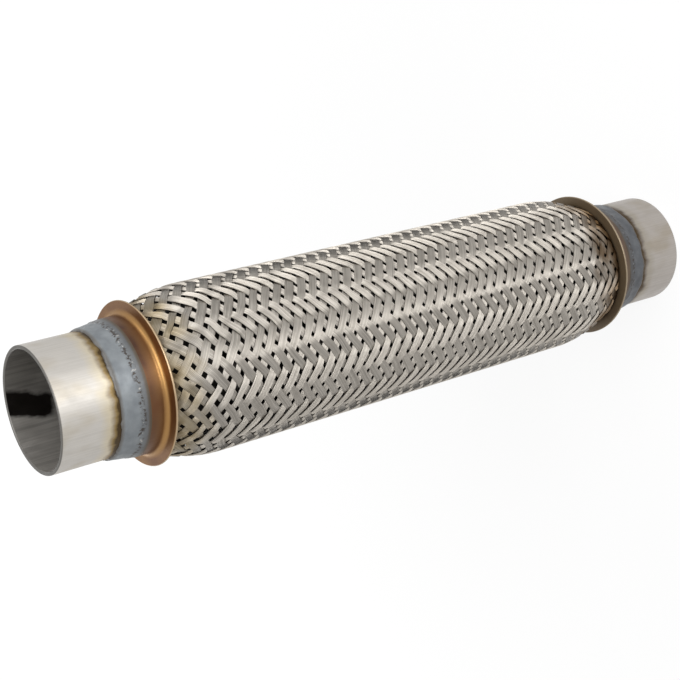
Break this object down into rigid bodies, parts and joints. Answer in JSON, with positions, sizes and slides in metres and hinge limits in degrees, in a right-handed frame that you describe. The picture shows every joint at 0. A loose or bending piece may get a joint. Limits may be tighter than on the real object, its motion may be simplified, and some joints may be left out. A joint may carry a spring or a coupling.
{
  "type": "exhaust flex pipe",
  "caption": "Flexible exhaust coupling: a braided bellows section with brimmed end caps, welded at both ends to plain stub pipes that clamp or weld into an exhaust line.",
  "frame": {"origin": "centre of the outlet mouth, where the pipe stands on end", "axes": "+Z along the pipe from the outlet mouth to the inlet mouth; X and Y across it"},
  "size_m": [0.069, 0.069, 0.325],
  "materials": {
    "stub_steel": "satin stainless tube",
    "weld_metal": "blue-grey oxidised weld",
    "heat_tinted_steel": "copper-brown heat tint",
    "braid_wire": "bright woven wire",
    "bellows_sheet": "thin rolled sheet",
    "liner_strip": "wound strip"
  },
  "bodies": {
    "root": {"inlet_stub_pipe": "stub_steel", "outlet_stub_pipe": "stub_steel", "inlet_weld_bead": "weld_metal", "outlet_weld_bead": "weld_metal", "inlet_end_cap": "heat_tinted_steel", "outlet_end_cap": "heat_tinted_steel", "outer_braid": "braid_wire", "bellows": "bellows_sheet", "interlock_liner": "liner_strip"}
  },
  "joints": []
}
